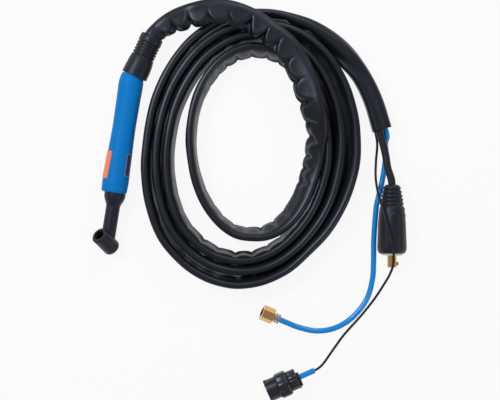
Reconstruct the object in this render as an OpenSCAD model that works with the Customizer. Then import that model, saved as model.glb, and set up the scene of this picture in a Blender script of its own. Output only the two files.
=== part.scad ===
// TIG torch with ball-jointed handle, flat sheath and its power, gas and control ends.
// Millimetres, +Z up. The handset lies along Y with its head towards -Y; the origin is on the
// bench, under the middle of the handset. Everything rests on Z = 0.

/* [Handle] */
// Ball centre to the front rim of the handle
handle_len = 156.5; // [150:0.5:165]
// Radius of the handle at its widest, near the front
handle_front_r = 18.5; // [18:0.1:19]
// Radius of the handle at its waist
handle_waist_r = 16.2; // [15.9:0.1:16.6]
// Radius of the handle at its rear shoulder
handle_rear_r = 17.3; // [17.1:0.1:17.6]
// Wall of the two half shells
wall = 2.4; // [2:0.1:2.6]
// Angle from vertical, about the handle's axis, that the trigger faces
trigger_roll = 66; // [60:1:70]
// Length of the bare plate on the handle
plate_len = 34; // [28:1:36]
// Half the arc that the plate covers, in degrees
plate_half_arc = 21; // [16:1:24]

/* [Ball joint] */
// Radius of the ball
ball_r = 12.5; // [12:0.1:12.8]
// Bore through the ball and its stem
ball_bore_r = 6.6; // [5:0.1:6.8]
// Outer radius of the stem
stem_r = 7.6; // [7.4:0.1:7.8]
// Thickness of the two floating seat rings
seat_ring_wall = 1.3; // [1.1:0.1:1.4]
// Clearance between faces that slide on each other
slide_gap = 0.2; // [0.15:0.01:0.25]
// Angle between the handle's axis and the boot's axis at rest
boot_yaw = 16; // [12:1:18]

/* [Boot] */
// Ball centre to the end of the boot
boot_len = 71; // [68:0.5:80]
// Outer radius of the boot's cup
boot_cup_r = 18.2; // [18:0.1:18.6]
// Outer radius of the boot's collar
boot_collar_r = 15.9; // [15.6:0.1:16.5]
// Number of grooves in the boot
boot_grooves = 5; // [3:1:5]

/* [Head] */
// Front rim of the handle to where the head's axis crosses the neck
neck_len = 71.1; // [62:0.1:80]
// Angle between the head's axis and the handle
head_angle = 61; // [60:1:68]
// Angle of the back cap side above the bench, about the neck
head_roll = 51; // [47:1:53]
// Outer radius of the rubber on the head
head_r = 12; // [11.6:0.05:12.4]
// Neck axis to the back cap end of the head
head_up = 21; // [20:0.1:22]
// Neck axis to the collet end of the head
head_down = 14.2; // [13.6:0.1:15]
// Outer radius of the rubber on the neck
neck_r = 9.8; // [9:0.1:10.2]
// Radius of the flare where the neck meets the handle
flare_r = 15; // [14.2:0.1:15.2]
// Radius of the back cap's thread
cap_thread_r = 6.1; // [5.6:0.1:6.3]
// Radius of the collet body's thread
collet_thread_r = 4.7; // [4:0.1:5.2]
// Sideways offset of the neck from the handle's axis
neck_offset = 2; // [1.6:0.1:2.4]

/* [Trigger] */
// Front rim of the handle to the rear end of the trigger
trigger_back = 57.2; // [56.5:0.1:60]
// Length of the trigger
trigger_len = 38.8; // [37:0.1:39]
// Width of the trigger
trigger_w = 18; // [17:0.1:18.4]
// How far the trigger stands out of the handle
trigger_proud = 0.8; // [0.6:0.1:1.4]
// Gap around the trigger
trigger_gap = 0.3; // [0.25:0.05:0.4]
// Radius of the trigger's pin
trigger_pin_r = 1.25; // [1:0.05:1.5]
// Travel of the trigger, in degrees
trigger_travel = 3.5; // [2:0.5:3.5]

/* [Sheath] */
// Flat width of the sheath, its height where it stands on edge
sheath_w = 34; // [32:0.5:34]
// Thickness of the flattened sheath
sheath_t = 12.8; // [11:0.1:13]
// Radius of the sheath's round end in the boot
sheath_end_r = 11.4; // [10.6:0.1:11.6]

/* [Power plug] */
// Diameter of the power cable
power_cable_d = 10.7; // [9:0.1:11]
// Length of the rubber plug boot
plug_len = 96; // [92:0.5:100]
// Largest radius of the plug boot
plug_r = 20.5; // [20:0.1:20.5]
// Diameter of the bayonet pin
plug_pin_d = 13; // [9:0.1:13]
// How far the pin stands out of the plug boot
plug_pin_out = 19.5; // [17:0.1:22]

/* [Gas end] */
// Diameter of the gas hose
gas_hose_d = 8; // [7:0.1:8.2]
// Width across flats of the gas nut
nut_af = 19; // [18:0.5:22]
// Length of the gas nut
nut_len = 17.6; // [16:0.1:20]
// Radius of the gas nut's thread
nut_thread_r = 6.2; // [5.9:0.1:6.6]

/* [Control plug] */
// Diameter of the control cable
control_cable_d = 3.5; // [3:0.1:3.6]
// Radius of the blue cable sleeve
cable_sleeve_r = 4; // [3:0.1:4.5]
// Length of the blue cable sleeve
cable_sleeve_len = 22.5; // [18:0.5:24]
// Length of the control plug from its back to its rim
connector_len = 50; // [46:0.5:54]
// Outer radius of the control plug's front barrel
connector_r = 15.5; // [15.2:0.1:16]
// Outer radius of the coupling ring
coupling_r = 18.5; // [18.2:0.1:19.5]
// Inner radius of the control plug's cup
connector_cup_r = 13.3; // [12.8:0.1:13.6]
// Number of contacts round the middle one
outer_contacts = 6; // [4:1:7]

/* [Hidden] */
$fn = 72;
eps = 0.01;
far = 60;

black = "#26282c";
blue = "#0878c4";
orange = "#f58a62";
brass = "#c9a25a";
copper = "#b8704a";
steel = "#b9bcc0";
nylon = "#d9d6cc";
grey = "#7f8790";

// ---- Ball joint and handle, as (radius, distance from the ball centre towards the head) ----

bed_z = handle_front_r;
handle_rear_len = 12;
dome_r = 19.3;
seat_r = ball_r + seat_ring_wall + 2 * slide_gap;
seat_front_r = 10.2;
cavity_s = sqrt(pow(seat_r, 2) - pow(seat_front_r, 2)) + 2;
rear_hole_r = stem_r + 5.8;
rear_hole_inner_r = stem_r + 4.3;
rear_hole_inner_s = 8;
front_wall_s = handle_len - 14.2;
head_s = handle_len + neck_len;
nose_len = 5;
nose_r = 15.8;

// Radius of the handle along its length
handle_radii = [
    [0, handle_rear_r - 0.1],
    [0.04 * handle_len, handle_rear_r],
    [0.16 * handle_len, (handle_rear_r + handle_waist_r) / 2],
    [0.40 * handle_len, handle_waist_r],
    [0.52 * handle_len, handle_waist_r + 0.15 * (handle_front_r - handle_waist_r)],
    [0.65 * handle_len, handle_waist_r + 0.45 * (handle_front_r - handle_waist_r)],
    [0.78 * handle_len, handle_waist_r + 0.72 * (handle_front_r - handle_waist_r)],
    [0.90 * handle_len, handle_front_r],
    [handle_len - nose_len, handle_front_r - 0.4]
];
function handle_r(s) = lookup(s, handle_radii);

// Rounding behind the ball centre, as (distance, how far the shoulder has fallen there)
rear_rounding = [[handle_rear_len, 2.8], [9.2, 2], [6.2, 1.2], [2.8, 0.5]];
rear_profile = [for (p = rear_rounding) [handle_rear_r - p[1], -p[0]]];
nose_profile = [
    for (a = [30 : 30 : 90])
        [nose_r + (handle_front_r - 0.4 - nose_r) * cos(a), handle_len - nose_len * (1 - sin(a))]
];
handle_profile = concat(
    [[0, -handle_rear_len]], rear_profile,
    [for (p = handle_radii) [p[1], p[0]]],
    nose_profile, [[0, handle_len]]
);
cavity_profile = concat(
    [[0, cavity_s], [handle_r(cavity_s) - wall, cavity_s]],
    [for (p = handle_radii) if (p[0] > cavity_s + 1 && p[0] < front_wall_s - 1) [p[1] - wall, p[0]]],
    [[handle_r(front_wall_s) - wall, front_wall_s], [0, front_wall_s]]
);

// The neck's axis in the handle's own frame, whose second axis faces the trigger
neck_x = neck_offset * cos(trigger_roll);
neck_y = -neck_offset * sin(trigger_roll);

head_round = 4;
head_reach = (head_down - head_round) * cos(head_angle)
    + (head_r - head_round) * sin(head_angle) + head_round;
handset_len = head_s + head_reach + handle_rear_len;
ball_y = handset_len / 2 - handle_rear_len;

// ---- Screws that join the shells: [distance along the handle, offset towards the trigger] ----

trigger_s = handle_len - trigger_back;
block_s = trigger_s - 17.3;
screw_places = [[24, 9.2], [24, -9.2], [block_s - 22, -9.4], [handle_len - 23.5, -11.2]];
screw_r = 1.5;
screw_head_r = 2.8;
screw_head_h = 2.2;
screw_seat_x = 7.4;
screw_tip_x = 8;
screw_boss_r = 3.4;
plate_turn = 28;

// ---- Trigger and switch ----

pin_s = trigger_s + 2.6;
pin_y = 11;
pin_half = 11.2;
pin_running_gap = 0.05;
pin_boss_r = 3;
ear_t = 1.9;
ear_r = 2.5;
trigger_roof_y = 14;
trigger_front_gap = 0.5;
trigger_skirt_y = 11.2;
tab_half_w = 4;
tab_t = 2;
tab_reach = 1;
tab_y = sqrt(pow(handle_r(trigger_s + trigger_len) - wall, 2) - pow(tab_half_w, 2)) - slide_gap;
pocket_y = 8;
shelf_y = 4.2;
shelf_t = 1;
switch_s = trigger_s + 10.7;
switch_len = 21;
switch_w = 10;
switch_h = 6.4;
plunger_s = trigger_s + 21.7;
plunger_r = 1.4;
plunger_top = 12;
plunger_len = 3.4;
plunger_well = 3.4;
press_gap = 0.15;
spring_s = trigger_s + trigger_len - 4.6;
spring_r = 2.4;
spring_bore_r = 1.8;

// ---- Neck, head and what runs inside the handle ----

collar_r = 11.1;
flange_r = 12.6;
flange_t = 1.3;
flare_len = 19;
// Flare, as (share of its extra radius, share of its length)
flare_curve = [[1, 0], [0.98, 0.2], [0.9, 0.38], [0.62, 0.58], [0.22, 0.8], [0.06, 0.92], [0, 1]];
tube_r = 5;
tube_bore_r = 3.2;
brass_r = 9;
brass_up = head_up - 4;
brass_down = head_down - 2.5;
tube_stop_r = 7.6;
cap_bore_len = 13;
collet_bore_len = 9;
block_len = 18;
block_socket = 8;
block_half_w = 8.5;
block_half_h = 5.4;
power_lead_r = 3.8;
gas_tube_r = 2.3;
switch_lead_r = 1.6;
lead_start_s = seat_r + 1;
lead_stations = [lead_start_s + 10.8, block_s - 34, block_s - 16];
power_socket_x = neck_x - 3.3;
gas_socket_x = neck_x + 4.7;

// ---- Boot, as (radius, distance from the ball centre along the boot) ----

boot_cavity_r = dome_r + 0.5;
lip_d = 10.3;
stem_flange_d = 34;
stem_flange_t = 3;
sheath_corner_r = sheath_end_r / cos(22.5);
boot_bore_r = sheath_corner_r + 0.9;
groove_d = 39;
groove_pitch = 4.6;
groove_w = 2;
groove_depth = 1.3;
tie_d = 48;
tie_w = 5;

// ---- Gas nut, power plug and control plug ----

nut_rear = [248, -178.5];
nut_turn = 165;
nut_rise = 10;
ferrule_len = 8.5;
ferrule_gap = 1.8;
nipple_r = 2.7;
nipple_neck_r = 4.5;
nipple_flange_r = 5.6;
nut_floor = 3;
nut_chamber_len = 3.8;
nut_axis_z = nut_af / 2;

plug_top = [383, 31];
plug_turn = -81;
plug_core_r = 9.8;
plug_core_d = 28;
plug_recess = 6;
plug_recess_r = 15;
rib_count = 5;
rib_pitch = 5;
rib_first_d = 5;
rib_w = 2.2;
cam_len = 5;
cam_out = 2.6;

connector_rear = [297.7, -255];
connector_turn = 213;
backshell_len = 20;
backshell_r = 13.5;
coupling_d = 17;
coupling_len = 17;
coupling_bore_r = 14.6;
cup_depth = 12;
insert_len = 14;
insert_r = connector_cup_r - 0.6;
insert_d = connector_len - cup_depth - insert_len;
contact_r = 1.1;
contact_ring_r = 7.5;
saddle_w = 15;
saddle_t = 3;
saddle_len = 9;
saddle_y = 8.6;
clamp_screw_r = 1.5;
clamp_screw_x = 5;
clamp_head_r = 2.4;
clamp_head_h = 2.2;

// ---- Sheath coil: position by the number of turns since the top of the coil ----

coil_middle = [181, 48];
coil_tilts = [[1, 9], [1.4, 1]];
coil_stretch = 21.4;
coil_first = 8 / 24;
coil_last = 95 / 24;
rings_per_turn = 24;
coil_radii = [
    [0.25, 109], [0.5, 96], [0.625, 99], [0.75, 105], [1, 119], [1.25, 127], [1.375, 126.5], [1.5, 130.5],
    [1.625, 137.5], [1.75, 136.5], [1.875, 138], [2, 137.5], [2.25, 142], [2.375, 141], [2.5, 145],
    [2.625, 152.2], [2.75, 151.3], [2.875, 153], [3, 153], [3.125, 159.5], [3.25, 162.5], [3.375, 155.7],
    [3.5, 162], [3.625, 168], [3.75, 166], [3.875, 169.5], [4, 168]
];
function coil_place(u, r) = let (
    x = (r - coil_stretch) * sin(360 * u),
    y = (r + coil_stretch) * cos(360 * u),
    tilt = lookup(u, coil_tilts)
) [
    coil_middle[0] + x * cos(tilt) - y * sin(tilt),
    coil_middle[1] + x * sin(tilt) + y * cos(tilt),
    sheath_w / 2
];
function coil_point(u) = coil_place(u, lookup(u, coil_radii));

// ---- Routes of the free stretches: [x, y, z] chosen by hand, with [width, thickness, lean] ----

boot_dir = [sin(boot_yaw), cos(boot_yaw), 0];
function on_boot(d) = [boot_dir[0] * d, ball_y + boot_dir[1] * d, bed_z];
flat = [sheath_w / 2, sheath_t / 2];
upright = 90;
lead_rise = sheath_w + sheath_t / 2 + 1;

lead_route = [
    [on_boot(stem_flange_d + stem_flange_t), [sheath_end_r, sheath_end_r], 0],
    [on_boot(boot_len), [sheath_end_r, sheath_end_r], 0],
    [[28, 193.5, 19], [13.5, 10], 0],
    [[39, 203.5, 24], [14.5, 8], 0],
    [[53.5, 212.5, 33], [16, sheath_t / 2], 0],
    [[72, 220.5, lead_rise], flat, 0],
    [[95, 228, lead_rise + 1], flat, 0],
    [[122, 231, lead_rise + 1], flat, 0],
    [[151, 225, lead_rise + 1], flat, 0],
    [[181, 213, lead_rise + 1], flat, 0],
    [[207, 197, lead_rise + 1.5], flat, 3],
    [[226.5, 177, lead_rise + 2], flat, 8],
    [[238.5, 158, lead_rise + 3.5], flat, 18],
    [[247.5, 140, lead_rise + 4], flat, 30],
    [[254.5, 122.5, lead_rise + 3.5], flat, 44],
    [[261, 106, lead_rise + 0.5], flat, 58],
    [[267, 88, lead_rise - 8.5], flat, 68],
    [[268, 70, 21], flat, 76],
    [[269, 50, 18], flat, 84],
    [coil_point(7 / 24), flat, upright],
    [coil_point(coil_first), flat, upright]
];
mouth = [357, 106, 12.5];
mouth_dir = [0.435, -0.9, 0];
mouth_side = [0.9, 0.435, 0];
mouth_size = [13, 12.5];
tail_route = [
    [coil_point(coil_last), flat, upright],
    [[162, 236, sheath_w / 2], flat, upright],
    [[185, 238.5, sheath_w / 2 + 0.2], flat, upright],
    [[208, 236, 16.5], [16, 7.5], 75],
    [[241, 229, 14.6], [14.5, 9.5], 60],
    [[272, 216, 13.8], [14, 11], 40],
    [[297, 198, 13.8], [14, 12], 20],
    [[318, 175, 12.8], [13.5, 12.5], 0],
    [[338, 145, 12.5], mouth_size, 0],
    [mouth, mouth_size, 0]
];

function from_mouth(side, z, out = 0) = [
    mouth[0] + mouth_side[0] * side + mouth_dir[0] * out,
    mouth[1] + mouth_side[1] * side + mouth_dir[1] * out,
    z
];
plug_dir = [cos(plug_turn), sin(plug_turn), 0];
nut_dir = [cos(nut_turn) * cos(nut_rise), sin(nut_turn) * cos(nut_rise), sin(nut_rise)];
connector_dir = [cos(connector_turn), sin(connector_turn), 0];
function on_plug(d) = [plug_top[0] + plug_dir[0] * d, plug_top[1] + plug_dir[1] * d, plug_r];
function on_nut(d) = [nut_rear[0], nut_rear[1], nut_axis_z] + nut_dir * d;
function on_connector(d) = [
    connector_rear[0] + connector_dir[0] * d, connector_rear[1] + connector_dir[1] * d, coupling_r
];

power_route = [
    from_mouth(-4, 16), from_mouth(-4, 16, 11), [367, 74, 17], [375, 53, 19],
    on_plug(-8), on_plug(0), on_plug(plug_core_d)
];
gas_route = [
    from_mouth(7.5, 12), from_mouth(7.5, 12, 3), from_mouth(7.5, 10.5, 12),
    [368, 87, 6.5], [370, 76, 4.2], [370.5, 56, 4.2],
    [370, 27, 4.2], [368.5, 10, 4.2], [367.8, -4, 4.2], [371.6, -50, 4.2], [376, -80, 4.2],
    [378.3, -105, 4.2], [374.6, -134, 4.2], [358.5, -162.5, 4.2], [337.5, -180.5, 4.2],
    [312.5, -189, 4.2], [286.5, -188, 4.6],
    on_nut(-ferrule_len - ferrule_gap - 9), on_nut(-ferrule_len - ferrule_gap)
];
control_route = [
    from_mouth(-9, 7), from_mouth(-9, 7, 5), [355.5, 84, 4], [357.5, 60, 3], [360, 38, 9], [365, 18, 21],
    [372, 0, 34], [381, -21, 42], [390, -42, 44], [396, -58, 44], [399, -70, 42], [400, -82, 37],
    [398, -95, 29], [394, -108, 20], [386, -130, 6], [372, -156, 2.4], [350.5, -189.5, 2.4],
    [337.2, -214.5, 7], [327, -233, 14],
    on_connector(-cable_sleeve_len - 4), on_connector(-cable_sleeve_len), on_connector(-1)
];

// ---- Swept tubes ----

function unit(v) = v / norm(v);
function along(points, i) = unit(points[min(i + 1, len(points) - 1)] - points[max(i - 1, 0)]);

// Flattened octagon and hexagon, counter-clockwise, as [along the width, along the thickness]
corner = 0.586;
function octagon(w, t) = let (c = corner * min(w, t)) [
    [w, c - t], [w, t - c], [w - c, t], [c - w, t], [-w, t - c], [-w, c - t], [c - w, -t], [w - c, -t]
];
function hexagon(w, t) = [[w, -t / 2], [w, t / 2], [0, t], [-w, t / 2], [-w, -t / 2], [0, -t]];

function ring(place, dir, section, lean, level = [0, 0, 1]) = let (
    side = unit(cross(level, dir)),
    up = cross(dir, side),
    w = side * cos(lean) + up * sin(lean),
    n = up * cos(lean) - side * sin(lean)
) [for (q = section) place + w * q[0] + n * q[1]];

function tube_faces(rings, sides) = concat(
    [for (k = [1 : sides - 2]) [0, k, k + 1]],
    [for (i = [0 : rings - 2], j = [0 : sides - 1]) let (k = (j + 1) % sides)
        [i * sides + j, (i + 1) * sides + j, (i + 1) * sides + k]],
    [for (i = [0 : rings - 2], j = [0 : sides - 1]) let (k = (j + 1) % sides)
        [i * sides + j, (i + 1) * sides + k, i * sides + k]],
    [for (k = [1 : sides - 2]) [(rings - 1) * sides, (rings - 1) * sides + k + 1, (rings - 1) * sides + k]]
);

module swept(rings) {
    sides = len(rings[0]);
    polyhedron(points = [for (r = rings, p = r) p], faces = tube_faces(len(rings), sides));
}

// A flat sheath along a route of [place, [half width, half thickness], lean]
module flat_tube(route, first_dir, last_dir) {
    places = [for (p = route) p[0]];
    last = len(route) - 1;
    swept([
        for (i = [0 : last]) ring(
            places[i],
            i == 0 ? first_dir : i == last ? last_dir : along(places, i),
            octagon(route[i][1][0], route[i][1][1]), route[i][2]
        )
    ]);
}

// A round cable along a route of places; level is a direction that the route never takes
module round_tube(route, r, level = [0, 0, 1]) {
    section = [for (a = [0 : 45 : 315]) [r * cos(a), r * sin(a)]];
    swept([for (i = [0 : len(route) - 1]) ring(route[i], along(route, i), section, 0, level)]);
}

coil_turns = [
    for (i = [round(coil_first * rings_per_turn) : round(coil_last * rings_per_turn)]) i / rings_per_turn
];
coil_step = 1 / rings_per_turn / 2;
function coil_dir(u) = unit(coil_point(u + coil_step) - coil_point(u - coil_step));
function coil_ring(u) = ring(coil_point(u), coil_dir(u), hexagon(sheath_w / 2, sheath_t / 2), upright);
coil_rings = [for (u = coil_turns) coil_ring(u)];
coil_gap = min([
    for (i = [0 : len(coil_rings) - 1 - rings_per_turn], k = [-1 : 1], a = coil_rings[i])
        let (other = i + rings_per_turn + k)
            if (other < len(coil_rings)) for (b = coil_rings[other]) norm(a - b)
]);
function route_len(points) = len(points) < 2 ? 0 : route_sum(points, 0);
function route_sum(points, i) = i >= len(points) - 1 ? 0
    : norm(points[i + 1] - points[i]) + route_sum(points, i + 1);
echo(least_gap_of_the_coil_to_itself = coil_gap);
echo(sheath_length = route_len([for (p = lead_route) p[0]])
    + route_len([for (u = coil_turns) coil_point(u)]) + route_len([for (p = tail_route) p[0]]));
echo(power_cable = route_len(power_route), gas_hose = route_len(gas_route));
echo(control_cable = route_len(control_route));

// ---- Frames ----

// Z runs from the ball centre towards the head, Y faces the trigger
module in_handle() {
    translate([0, ball_y, bed_z]) rotate([0, -trigger_roll, 0]) rotate([90, 0, 0]) children();
}

// Z runs along the neck towards the head, Y is up
module in_neck() {
    translate([neck_offset, ball_y, bed_z]) rotate([90, 0, 0]) children();
}

// Z points out of the head's back cap end
module in_head() {
    in_neck() translate([0, 0, head_s]) head_turn() children();
}

module head_turn() {
    rotate([0, 0, 180 - head_roll]) rotate([0, 180 - head_angle, 0]) children();
}

// Z runs from the ball centre along the boot
module in_boot() {
    translate([0, ball_y, bed_z]) rotate([0, 0, -boot_yaw]) rotate([-90, 0, 0]) children();
}

module at_plug() {
    translate([plug_top[0], plug_top[1], plug_r]) rotate([0, 90, plug_turn]) children();
}

module at_nut() {
    translate(on_nut(0)) rotate([0, 90 - nut_rise, nut_turn]) children();
}

module at_connector() {
    translate([connector_rear[0], connector_rear[1], coupling_r]) rotate([0, 90, connector_turn]) children();
}

// A pipe from z0 to z1
module pipe(z0, z1, r, bore) {
    translate([0, 0, z0]) difference() {
        cylinder(h = z1 - z0, r = r);
        translate([0, 0, -eps]) cylinder(h = z1 - z0 + 2 * eps, r = bore);
    }
}

module rod(z0, z1, r) {
    translate([0, 0, z0]) cylinder(h = z1 - z0, r = r);
}

module block(low, high) {
    translate(low) cube(high - low);
}

// ---- Ball joint ----

module bend_boot() {
    color(black) in_boot() difference() {
        rotate_extrude() polygon([
            [0, lip_d], [boot_cup_r, lip_d], [boot_cup_r, lip_d + 4], [boot_cup_r - 0.5, groove_d - 5],
            [boot_collar_r + 0.5, groove_d - 1.5], [boot_collar_r, boot_len - 1], [boot_collar_r - 1, boot_len],
            [0, boot_len]
        ]);
        sphere(r = boot_cavity_r, $fn = 96);
        rod(0, stem_flange_d + eps, stem_r);
        rod(stem_flange_d, boot_len + 1, boot_bore_r);
        for (i = [0 : boot_grooves - 1]) {
            pipe(groove_d + i * groove_pitch, groove_d + i * groove_pitch + groove_w,
                far / 2, boot_collar_r - groove_depth + 0.4);
        }
    }
}

module swivel_ball() {
    color(black) in_boot() difference() {
        union() {
            intersection() {
                sphere(r = ball_r, $fn = 96);
                rod(-ball_r + 2.3, ball_r, ball_r + 1);
            }
            rod(0, stem_flange_d, stem_r);
            rod(stem_flange_d, stem_flange_d + stem_flange_t, boot_bore_r);
        }
        rod(-ball_r, stem_flange_d + stem_flange_t + 1, ball_bore_r);
    }
}

module seat_ring(z0, z1) {
    color(nylon) in_handle() difference() {
        intersection() {
            sphere(r = ball_r + slide_gap + seat_ring_wall, $fn = 96);
            rod(z0, z1, far / 2);
        }
        sphere(r = ball_r + slide_gap, $fn = 96);
    }
}

module front_seat_ring() {
    seat_ring(3.4, 8.8);
}

module rear_seat_ring() {
    seat_ring(-6.2, -0.6);
}

// ---- Handle ----

module plate_solid() {
    s0 = trigger_s - 1;
    s1 = s0 + plate_len;
    inner = [for (s = [s0, (s0 + s1) / 2, s1]) [handle_r(s) - 0.6, s]];
    outer = [for (s = [s1, (s0 + s1) / 2, s0]) [handle_r(s) + 0.4, s]];
    rotate([0, 0, -plate_turn - plate_half_arc])
        rotate_extrude(angle = 2 * plate_half_arc) polygon(concat(inner, outer));
}

module screw_boss(side) {
    for (p = screw_places) {
        translate([0, p[1], p[0]]) rotate([0, 90 * side, 0]) cylinder(h = far / 2, r = screw_boss_r);
    }
}

module handle_filling() {
    difference() {
        rotate_extrude() polygon(cavity_profile);
        screw_boss(1);
        screw_boss(-1);
        block([-far / 2, shelf_y - shelf_t, switch_s - 2], [far / 2, shelf_y, spring_s + 3]);
        for (side = [-1, 1]) {
            translate([side * (trigger_w / 2 + trigger_gap), pin_y, pin_s]) rotate([0, 90 * side, 0])
                cylinder(h = far / 2, r = pin_boss_r);
        }
    }
}

module handle_body() {
    difference() {
        rotate_extrude() polygon(handle_profile);
        handle_filling();
        sphere(r = seat_r, $fn = 96);
        rod(0, cavity_s + 1, seat_front_r);
        translate([0, 0, -handle_rear_len]) cylinder(
            h = handle_rear_len - rear_hole_inner_s, r1 = rear_hole_r, r2 = rear_hole_inner_r
        );
        translate([neck_x, neck_y, 0]) rod(front_wall_s - 1, handle_len + 1, collar_r);
        block(
            [-trigger_w / 2 - trigger_gap, pocket_y, trigger_s - trigger_gap],
            [trigger_w / 2 + trigger_gap, far / 2, trigger_s + trigger_len + trigger_front_gap]
        );
        translate([-pin_half, pin_y, pin_s]) rotate([0, 90, 0]) cylinder(h = 2 * pin_half, r = trigger_pin_r);
        plate_solid();
        block([-0.6, handle_rear_r - 2, 5.5], [0.6, handle_rear_r + 1, 8.5]);
    }
}

module handle_upper() {
    color(blue) in_handle() difference() {
        intersection() {
            handle_body();
            block([0, -far, -far], [far, far, 4 * far]);
        }
        for (p = screw_places) {
            translate([0, p[1], p[0]]) rotate([0, 90, 0]) rod(-eps, screw_tip_x, screw_r);
        }
    }
}

module handle_lower() {
    color(blue) in_handle() difference() {
        intersection() {
            handle_body();
            block([-far, -far, -far], [0, far, 4 * far]);
        }
        for (p = screw_places) {
            translate([0, p[1], p[0]]) rotate([0, -90, 0]) {
                rod(-eps, far, screw_r);
                rod(screw_seat_x, far, screw_head_r + 0.2);
            }
        }
    }
}

module handle_screws() {
    color(steel) in_handle() for (p = screw_places) {
        translate([0, p[1], p[0]]) rotate([0, -90, 0]) difference() {
            union() {
                rod(-screw_tip_x, screw_seat_x, screw_r);
                rod(screw_seat_x, screw_seat_x + screw_head_h, screw_head_r);
            }
            translate([0, 0, screw_seat_x + screw_head_h - 1.2]) cylinder(h = 2, r = 1.3, $fn = 6);
        }
    }
}

module rating_plate() {
    color(grey) in_handle() plate_solid();
}

// ---- Neck and head ----

module head_cover() {
    color(black) difference() {
        union() {
            in_neck() rotate_extrude() polygon(concat(
                [
                    [0, front_wall_s - flange_t], [flange_r, front_wall_s - flange_t], [flange_r, front_wall_s],
                    [collar_r, front_wall_s], [collar_r, handle_len]
                ],
                [for (p = flare_curve) [neck_r + (flare_r - neck_r) * p[0], handle_len + flare_len * p[1]]],
                [[neck_r, head_s], [0, head_s]]
            ));
            in_head() rotate_extrude() polygon(concat(
                [[0, -head_down]],
                [for (a = [0 : 15 : 90]) [
                    head_r - head_round + head_round * sin(a), -head_down + head_round - head_round * cos(a)
                ]],
                [[head_r, head_up - 1.5], [head_r - 1.5, head_up], [0, head_up]]
            ));
        }
        in_head() {
            rod(-brass_down, brass_up, brass_r);
            rod(brass_up - eps, head_up + 1, cap_thread_r + 1.1);
            rod(-head_down - 1, -brass_down + eps, collet_thread_r + 2.7);
        }
        in_neck() rod(front_wall_s - flange_t - 1, head_s, tube_r);
    }
}

module torch_body() {
    color(brass) difference() {
        in_head() difference() {
            rod(-brass_down, brass_up, brass_r);
            rod(brass_up - cap_bore_len, brass_up + 1, cap_thread_r);
            rod(-brass_down - 1, -brass_down + collet_bore_len, collet_thread_r);
            rod(-brass_down, brass_up, 2.4);
        }
        difference() {
            in_neck() rod(head_s - 2 * head_r, head_s, tube_r);
            in_head() rod(-far, far, tube_stop_r);
        }
        in_neck() rod(head_s - 1.5 * head_r, head_s, 1.5);
    }
}

module neck_tube() {
    color(copper) difference() {
        in_neck() pipe(block_s + block_len - block_socket + 2, head_s, tube_r, tube_bore_r);
        in_head() rod(-far, far, tube_stop_r);
    }
}

module lead_block() {
    color(brass) in_handle() difference() {
        block(
            [neck_x - block_half_w, neck_y - block_half_h, block_s],
            [neck_x + block_half_w, neck_y + block_half_h, block_s + block_len]
        );
        translate([neck_x, neck_y, 0]) rod(block_s + block_len - block_socket, block_s + block_len + 1, tube_r);
        translate([power_socket_x, neck_y, 0]) rod(block_s - 1, block_s + block_socket, power_lead_r);
        translate([gas_socket_x, neck_y, 0]) rod(block_s - 1, block_s + block_socket, gas_tube_r);
        translate([neck_x + 2.6, neck_y, 0]) rod(block_s + block_socket - 1, block_s + block_len - 1, 1);
    }
}

module power_lead() {
    color(copper) in_handle() round_tube([
        [-2.6, 0, lead_start_s], [-2.6, 0, lead_stations[0]], [power_socket_x, neck_y / 2, lead_stations[1]],
        [power_socket_x, neck_y, lead_stations[2]],
        [power_socket_x, neck_y, block_s], [power_socket_x, neck_y, block_s + block_socket]
    ], power_lead_r, [0, 1, 0]);
}

module gas_tube() {
    color(black) in_handle() round_tube([
        [4.1, 0, lead_start_s], [4.1, 0, lead_stations[0]], [gas_socket_x, neck_y / 2, lead_stations[1]],
        [gas_socket_x, neck_y, lead_stations[2]],
        [gas_socket_x, neck_y, block_s], [gas_socket_x, neck_y, block_s + block_socket]
    ], gas_tube_r, [0, 1, 0]);
}

module switch_lead() {
    color(black) in_handle() round_tube([
        [1.4, 3.9, lead_start_s], [1.4, 3.9, lead_stations[0]], [1, 4.6, lead_stations[1]],
        [0.5, 5.2, lead_stations[2] + 4], [0, 6.4, block_s + 10],
        [0, shelf_y + switch_h / 2, switch_s - 3], [0, shelf_y + switch_h / 2, switch_s]
    ], switch_lead_r, [0, 1, 0]);
}

// ---- Trigger ----

module switch_case() {
    color(black) in_handle() difference() {
        block([-switch_w / 2, shelf_y, switch_s], [switch_w / 2, shelf_y + switch_h, switch_s + switch_len]);
        translate([0, shelf_y + switch_h - plunger_well, plunger_s]) rotate([-90, 0, 0])
            cylinder(h = plunger_well + 1, r = plunger_r + pin_running_gap);
    }
}

module switch_plunger() {
    color(orange) in_handle() translate([0, plunger_top - plunger_len, plunger_s]) rotate([-90, 0, 0])
        cylinder(h = plunger_len, r = plunger_r);
}

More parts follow.
